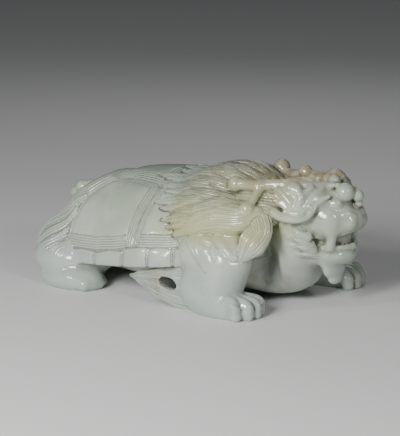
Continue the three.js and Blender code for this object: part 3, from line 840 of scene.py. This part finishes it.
def tints(places):
    """Shares of the warm, russet and cool stone at each place, and of painted shade on the top."""
    x, y, z = places.T
    warm = smooth(-5, 14, x) * smooth(34, 42, z) * smooth(80, 60, x)
    # Painted shade: the top of the shell, mane and head is darkened, more on the far side.
    top_shade = smooth(54, 63, z) * smooth(62, 4, x) * (0.7 + 0.3 * smooth(-20, 5, y))
    russet_and_shade = 0.9 * smooth(54, 64, z) * smooth(5, 30, x) * (0.55 + 0.45 * smooth(-22, 8, y))
    russet_and_shade *= smooth(98, 64, x)
    # Brown spots: brown skin on the crown, and brown with painted shade in the mouth and in the
    # recess beside the throat.
    for spot, reach, share in BROWN_AND_SHADE_SPOTS:
        russet_and_shade += share * np.exp(-((((places - np.array(spot)) / reach) ** 2).sum(1)))
    cool = 0.8 * smooth(32, 20, z) + 0.5 * smooth(-60, -90, x)
    shares = {"warm": warm, "russet_and_shade": russet_and_shade, "cool": cool, "top_shade": top_shade}
    return {name: np.clip(share, 0, 1) for name, share in shares.items()}


class JadeSettings(bpy.types.PropertyGroup):
    cell: FloatProperty(
        name="Cell", description="Size of the cells that the stone is carved in",
        default=0.4 * MM, min=0.2 * MM, unit="LENGTH", precision=5,
    )
    triangles: IntProperty(
        name="Triangles", description="Most triangles in the finished carving", default=190000,
    )
    color: FloatVectorProperty(
        name="Jade", description="Colour of the clear pale jade", subtype="COLOR",
        default=(0.35, 0.405, 0.325), min=0, max=1,
    )
    pale: FloatVectorProperty(
        name="Pale jade", description="Colour of the paler clouds in it", subtype="COLOR",
        default=(0.46, 0.505, 0.425), min=0, max=1,
    )
    mane: FloatVectorProperty(
        name="Mane", description="Colour of the warmer stone that the mane is cut in",
        subtype="COLOR", default=(0.41, 0.415, 0.225), min=0, max=1,
    )
    cool: FloatVectorProperty(
        name="Cool jade", description="Colour of the bluish stone of the legs and the chest",
        subtype="COLOR", default=(0.36, 0.415, 0.385), min=0, max=1,
    )
    # This colour also paints the brown spots, with painted shade in the mouth and in the recess
    # beside the throat.
    russet_and_shade: FloatVectorProperty(
        name="Russet", description="Colour of the brown skin left on the crown and mane",
        subtype="COLOR", default=(0.22, 0.15, 0.08), min=0, max=1,
    )


class StageSettings(bpy.types.PropertyGroup):
    floor: FloatVectorProperty(
        name="Floor", description="Colour of the floor", subtype="COLOR",
        default=(0.72, 0.72, 0.71), min=0, max=1,
    )
    key: FloatProperty(
        name="Key light", description="Power of the main light", default=8, unit="POWER",
    )


class Nodes:
    """Shader nodes, each made and wired in one call."""

    def __init__(self, tree):
        self.tree = tree

    def wire(self, socket, value):
        if isinstance(value, bpy.types.NodeSocket):
            self.tree.links.new(value, socket)
        else:
            socket.default_value = value

    def math(self, operation, *values):
        node = self.tree.nodes.new("ShaderNodeMath")
        node.operation = operation
        for socket, value in zip(node.inputs, values):
            self.wire(socket, value)
        return node.outputs[0]

    def mix(self, share, first, second):
        node = self.tree.nodes.new("ShaderNodeMix")
        node.data_type = "RGBA"
        for name, value in (("Factor_Float", share), ("A_Color", first), ("B_Color", second)):
            self.wire(next(s for s in node.inputs if s.identifier == name), value)
        return next(s for s in node.outputs if s.identifier == "Result_Color")

    def noise(self, places, scale, detail, distortion=0.0):
        node = self.tree.nodes.new("ShaderNodeTexNoise")
        self.wire(node.inputs["Vector"], places)
        node.inputs["Scale"].default_value = scale
        node.inputs["Detail"].default_value = detail
        node.inputs["Distortion"].default_value = distortion
        return node.outputs["Fac"]

    def spread(self, value, low, high, first=0.0, last=1.0):
        """A value that eases from first at low to last at high."""
        node = self.tree.nodes.new("ShaderNodeMapRange")
        node.interpolation_type = "SMOOTHSTEP"
        names = ("Value", "From Min", "From Max", "To Min", "To Max")
        for name, given in zip(names, (value, low, high, first, last)):
            self.wire(node.inputs[name], given)
        return node.outputs[0]

    def stored(self, name):
        """A value that the carving has at each vertex."""
        node = self.tree.nodes.new("ShaderNodeAttribute")
        node.attribute_name = name
        return node.outputs["Fac"]


def jade_material(settings):
    """Clouded jade with tinted places, and painted shade in the cut lines, in hollows and on the
    top.
    """
    made = bpy.data.materials.new("celadon_jade")
    made.use_nodes = True
    tree = made.node_tree
    shader = tree.nodes["Principled BSDF"]
    n = Nodes(tree)
    places = tree.nodes.new("ShaderNodeTexCoord").outputs["Object"]
    cloud = n.noise(places, 26, 4, 0.8)
    wisp = n.noise(places, 75, 6, 1.6)
    grain = n.noise(places, 700, 3)
    number = n.stored("number")
    off = n.math("ABSOLUTE", n.math("SUBTRACT", number, n.math("ROUND", number)))
    off = n.math("POWER", n.math("DIVIDE", off, 0.2), 2.0)
    cut = n.math("MULTIPLY", n.math("EXPONENT", n.math("MULTIPLY", off, -1.0)), n.stored("depth"))
    cut = n.math("MULTIPLY", cut, n.spread(wisp, 0.3, 0.6, 0.55, 1.0))
    color = n.mix(n.spread(cloud, 0.38, 0.62), (*settings.color, 1), (*settings.pale, 1))
    # The russet share carries brown skin and the brown spots, with painted shade in the mouth and
    # in the recess beside the throat.
    for name, tint, patches in (
        ("warm", settings.mane, n.spread(cloud, 0.3, 0.7, 0.6, 1.0)),
        ("cool", settings.cool, n.spread(cloud, 0.35, 0.65, 0.35, 1.0)),
        ("russet_and_shade", settings.russet_and_shade, n.spread(wisp, 0.36, 0.66, 0.15, 1.0)),
    ):
        color = n.mix(n.math("MULTIPLY", n.stored(name), patches), color, (*tint, 1))
    # Painted shade on the top and the far side.
    color = n.mix(n.math("MULTIPLY", n.stored("top_shade"), 0.6), color, TOP_SHADE_COLOR)
    color = n.mix(n.math("MULTIPLY", n.spread(wisp, 0.55, 0.75), 0.16), color, VEIN)
    # Painted shade in the cut lines.
    color = n.mix(n.math("MULTIPLY", cut, 0.45), color, LINE_SHADE_COLOR)
    # Painted shade in hollows, where other stone closes the surface in.
    color = n.mix(n.spread(n.stored("shade_in_hollows"), 0.14, 0.8, 0.0, 0.8), color, HOLLOW_SHADE_COLOR)
    n.wire(shader.inputs["Base Color"], color)
    rough = n.math("ADD", n.spread(wisp, 0.3, 0.7, 0.1, 0.2), n.math("MULTIPLY", cut, 0.2))
    n.wire(shader.inputs["Roughness"], rough)
    bump = tree.nodes.new("ShaderNodeBump")
    bump.inputs["Strength"].default_value = 1.0
    bump.inputs["Distance"].default_value = 0.4 * MM
    height = n.math("SUBTRACT", n.math("MULTIPLY", grain, 0.05), cut)
    n.wire(bump.inputs["Height"], height)
    n.wire(shader.inputs["Normal"], bump.outputs["Normal"])
    shader.inputs["IOR"].default_value = 1.61
    shader.inputs["Subsurface Weight"].default_value = 0.3
    shader.inputs["Subsurface Radius"].default_value = (1.0, 1.0, 0.8)
    shader.inputs["Subsurface Scale"].default_value = 0.003
    return made


def carve(cell):
    """The carved stone, and the limbs whose strands are cut in its surface."""
    shift = np.array([BALANCE, 0, 0])
    carver = Carver(Stone(LOW - shift, HIGH - shift, cell))
    carver.body()
    for side in SIDES:
        carver.foreleg(side)
        carver.hind_leg(side)
    carver.mane()
    carver.hair()
    carver.tail()
    carver.head()
    carver.pierce()
    carver.stone.cut_soles()
    return carver.stone, carver.limbs


def mesh_of(points, faces):
    mesh = bpy.data.meshes.new("dragon_turtle_carving")
    mesh.vertices.add(len(points))
    mesh.vertices.foreach_set("co", points.ravel())
    mesh.loops.add(faces.size)
    mesh.loops.foreach_set("vertex_index", faces.ravel().astype(np.int32))
    mesh.polygons.add(len(faces))
    mesh.polygons.foreach_set("loop_start", np.arange(0, faces.size, 4, dtype=np.int32))
    mesh.update(calc_edges=True)
    mesh.validate()
    return mesh


def normals_of(mesh):
    normals = np.zeros(len(mesh.vertices) * 3, np.float32)
    mesh.vertex_normals.foreach_get("vector", normals)
    return normals.reshape(-1, 3)


def place_vertices(mesh, points):
    """Moves the vertices to places in metres, inside the solid's box."""
    points = np.clip(points, LOW * MM, HIGH * MM)
    mesh.vertices.foreach_set("co", points.ravel())
    mesh.update()
    return points


def cut_lines(mesh, points, stone, limbs):
    """Raises the plates and folds, and cuts the lines, along the surface's normals."""
    lines = lines_at(points, stone, limbs)
    near = np.abs(lines.number - np.rint(lines.number))
    relief = lines.rise - 0.22 * lines.depth * np.exp(-((near / 0.26) ** 2))
    relief *= smooth(0.2, 1.0, points[:, 2])
    points = points + normals_of(mesh) * relief[:, None]
    place_vertices(mesh, (points + (BALANCE, 0, 0)) * MM)


def thin_out(context, piece, most):
    """Merges the flattest faces of a piece until it has at most this many triangles."""
    mesh = piece.data
    triangles = len(mesh.polygons) * 2
    if triangles <= most:
        return
    thin = piece.modifiers.new("thin", "DECIMATE")
    thin.ratio = most / triangles
    shown = piece.evaluated_get(context.evaluated_depsgraph_get())
    piece.data = bpy.data.meshes.new_from_object(shown)
    piece.modifiers.clear()
    bpy.data.meshes.remove(mesh)


class JADE_OT_carve(bpy.types.Operator):
    """Carve the dragon turtle from a block of jade"""

    bl_idname = "jade.carve"
    bl_label = "Carve the Dragon Turtle"

    def execute(self, context):
        settings = context.scene.jade
        stone, limbs = carve(settings.cell / MM * (1))
        points, faces = stone.surface()
        mesh = mesh_of(points, faces)
        cut_lines(mesh, points, stone, limbs)
        piece = bpy.data.objects.new("jade_dragon_turtle", mesh)
        context.scene.collection.objects.link(piece)
        thin_out(context, piece, settings.triangles)

        mesh = piece.data
        mesh.name = "dragon_turtle_carving"
        mesh.shade_smooth()
        points = np.zeros(len(mesh.vertices) * 3)
        mesh.vertices.foreach_get("co", points)
        points = place_vertices(mesh, points.reshape(-1, 3)) / MM - (BALANCE, 0, 0)
        lines = lines_at(points, stone, limbs)
        # Painted shade in hollows, from how far other stone closes in each vertex.
        shade_in_hollows = stone.shade_in_hollows(points, normals_of(mesh))
        shares = {"number": lines.number, "depth": lines.depth, "shade_in_hollows": shade_in_hollows}
        for name, values in (shares | tints(points)).items():
            stored = mesh.attributes.new(name, "FLOAT", "POINT")
            stored.data.foreach_set("value", values.astype(np.float32))
        mesh.materials.clear()
        mesh.materials.append(jade_material(settings))
        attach(piece, "root")
        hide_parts(NODE)
        return {"FINISHED"}


class JADE_OT_stage(bpy.types.Operator):
    """Lay the floor, set the lights and place the camera"""

    bl_idname = "jade.stage"
    bl_label = "Set the Stage"

    def execute(self, context):
        settings = context.scene.jade_stage
        scene = context.scene
        mesh = bpy.data.meshes.new("floor")
        corners = [(-FLOOR, -FLOOR, 0), (FLOOR, -FLOOR, 0), (FLOOR, FLOOR, 0), (-FLOOR, FLOOR, 0)]
        mesh.from_pydata(corners, [], [(0, 1, 2, 3)])
        floor = bpy.data.objects.new("floor", mesh)
        scene.collection.objects.link(floor)
        paint = bpy.data.materials.new("floor_paint")
        paint.use_nodes = True
        shader = paint.node_tree.nodes["Principled BSDF"]
        shader.inputs["Base Color"].default_value = (*settings.floor, 1)
        shader.inputs["Roughness"].default_value = 0.6
        mesh.materials.append(paint)
        world = bpy.data.worlds.new("studio")
        world.use_nodes = True
        sky = world.node_tree.nodes["Background"]
        sky.inputs["Color"].default_value = (0.9, 0.92, 0.95, 1)
        sky.inputs["Strength"].default_value = 0.09
        scene.world = world

        def light(name, place, aim, size, power):
            data = bpy.data.lights.new(name, "AREA")
            data.shape, data.size, data.energy = "SQUARE", size, power
            lamp = bpy.data.objects.new(name, data)
            lamp.location = place
            lamp.rotation_euler = (Vector(aim) - Vector(place)).to_track_quat("-Z", "Y").to_euler()
            scene.collection.objects.link(lamp)

        light("key", (0.1, -0.78, 0.36), (0, 0, 0.03), 0.24, settings.key)
        light("side", (0.75, -0.3, 0.45), (0.03, 0, 0.03), 0.14, 1.6)
        light("window", (-0.32, -0.72, 0.5), (0, 0, 0.03), 0.1, 1.6)
        light("back", (-0.3, 0.6, 0.5), (0, 0, 0.03), 0.3, 0.35)

        toward = Vector((
            math.sin(AZIMUTH) * math.cos(ELEVATION),
            -math.cos(AZIMUTH) * math.cos(ELEVATION),
            math.sin(ELEVATION),
        ))
        data = bpy.data.cameras.new("camera")
        data.sensor_fit = "VERTICAL"
        data.sensor_height = SENSOR
        data.lens = AWAY * PIXELS_PER_METRE * SENSOR / PHOTO_HEIGHT
        data.shift_x, data.shift_y = (pixels / PHOTO_HEIGHT for pixels in SHIFT)
        camera = bpy.data.objects.new("camera", data)
        camera.location = Vector(AIM) + toward * AWAY
        camera.rotation_euler = (-toward).to_track_quat("-Z", "Y").to_euler()
        scene.collection.objects.link(camera)
        scene.camera = camera
        return {"FINISHED"}


class JADE_PT_panel(bpy.types.Panel):
    bl_label = "Jade Dragon Turtle"
    bl_idname = "JADE_PT_panel"
    bl_space_type = "VIEW_3D"
    bl_region_type = "UI"
    bl_category = "Jade"

    def draw(self, context):
        for group in (context.scene.jade, context.scene.jade_stage):
            for name in group.bl_rna.properties.keys():
                if name not in ("rna_type", "name"):
                    self.layout.prop(group, name)
        self.layout.operator("jade.carve")
        self.layout.operator("jade.stage")


CLASSES = (JadeSettings, StageSettings, JADE_OT_carve, JADE_OT_stage, JADE_PT_panel)


def register():
    for made in CLASSES:
        bpy.utils.register_class(made)
    bpy.types.Scene.jade = PointerProperty(type=JadeSettings)
    bpy.types.Scene.jade_stage = PointerProperty(type=StageSettings)


def unregister():
    del bpy.types.Scene.jade_stage
    del bpy.types.Scene.jade
    for made in reversed(CLASSES):
        bpy.utils.unregister_class(made)


def main():
    register()
    bpy.ops.jade.carve()
    bpy.ops.jade.stage()


if __name__ == "__main__":
    main()
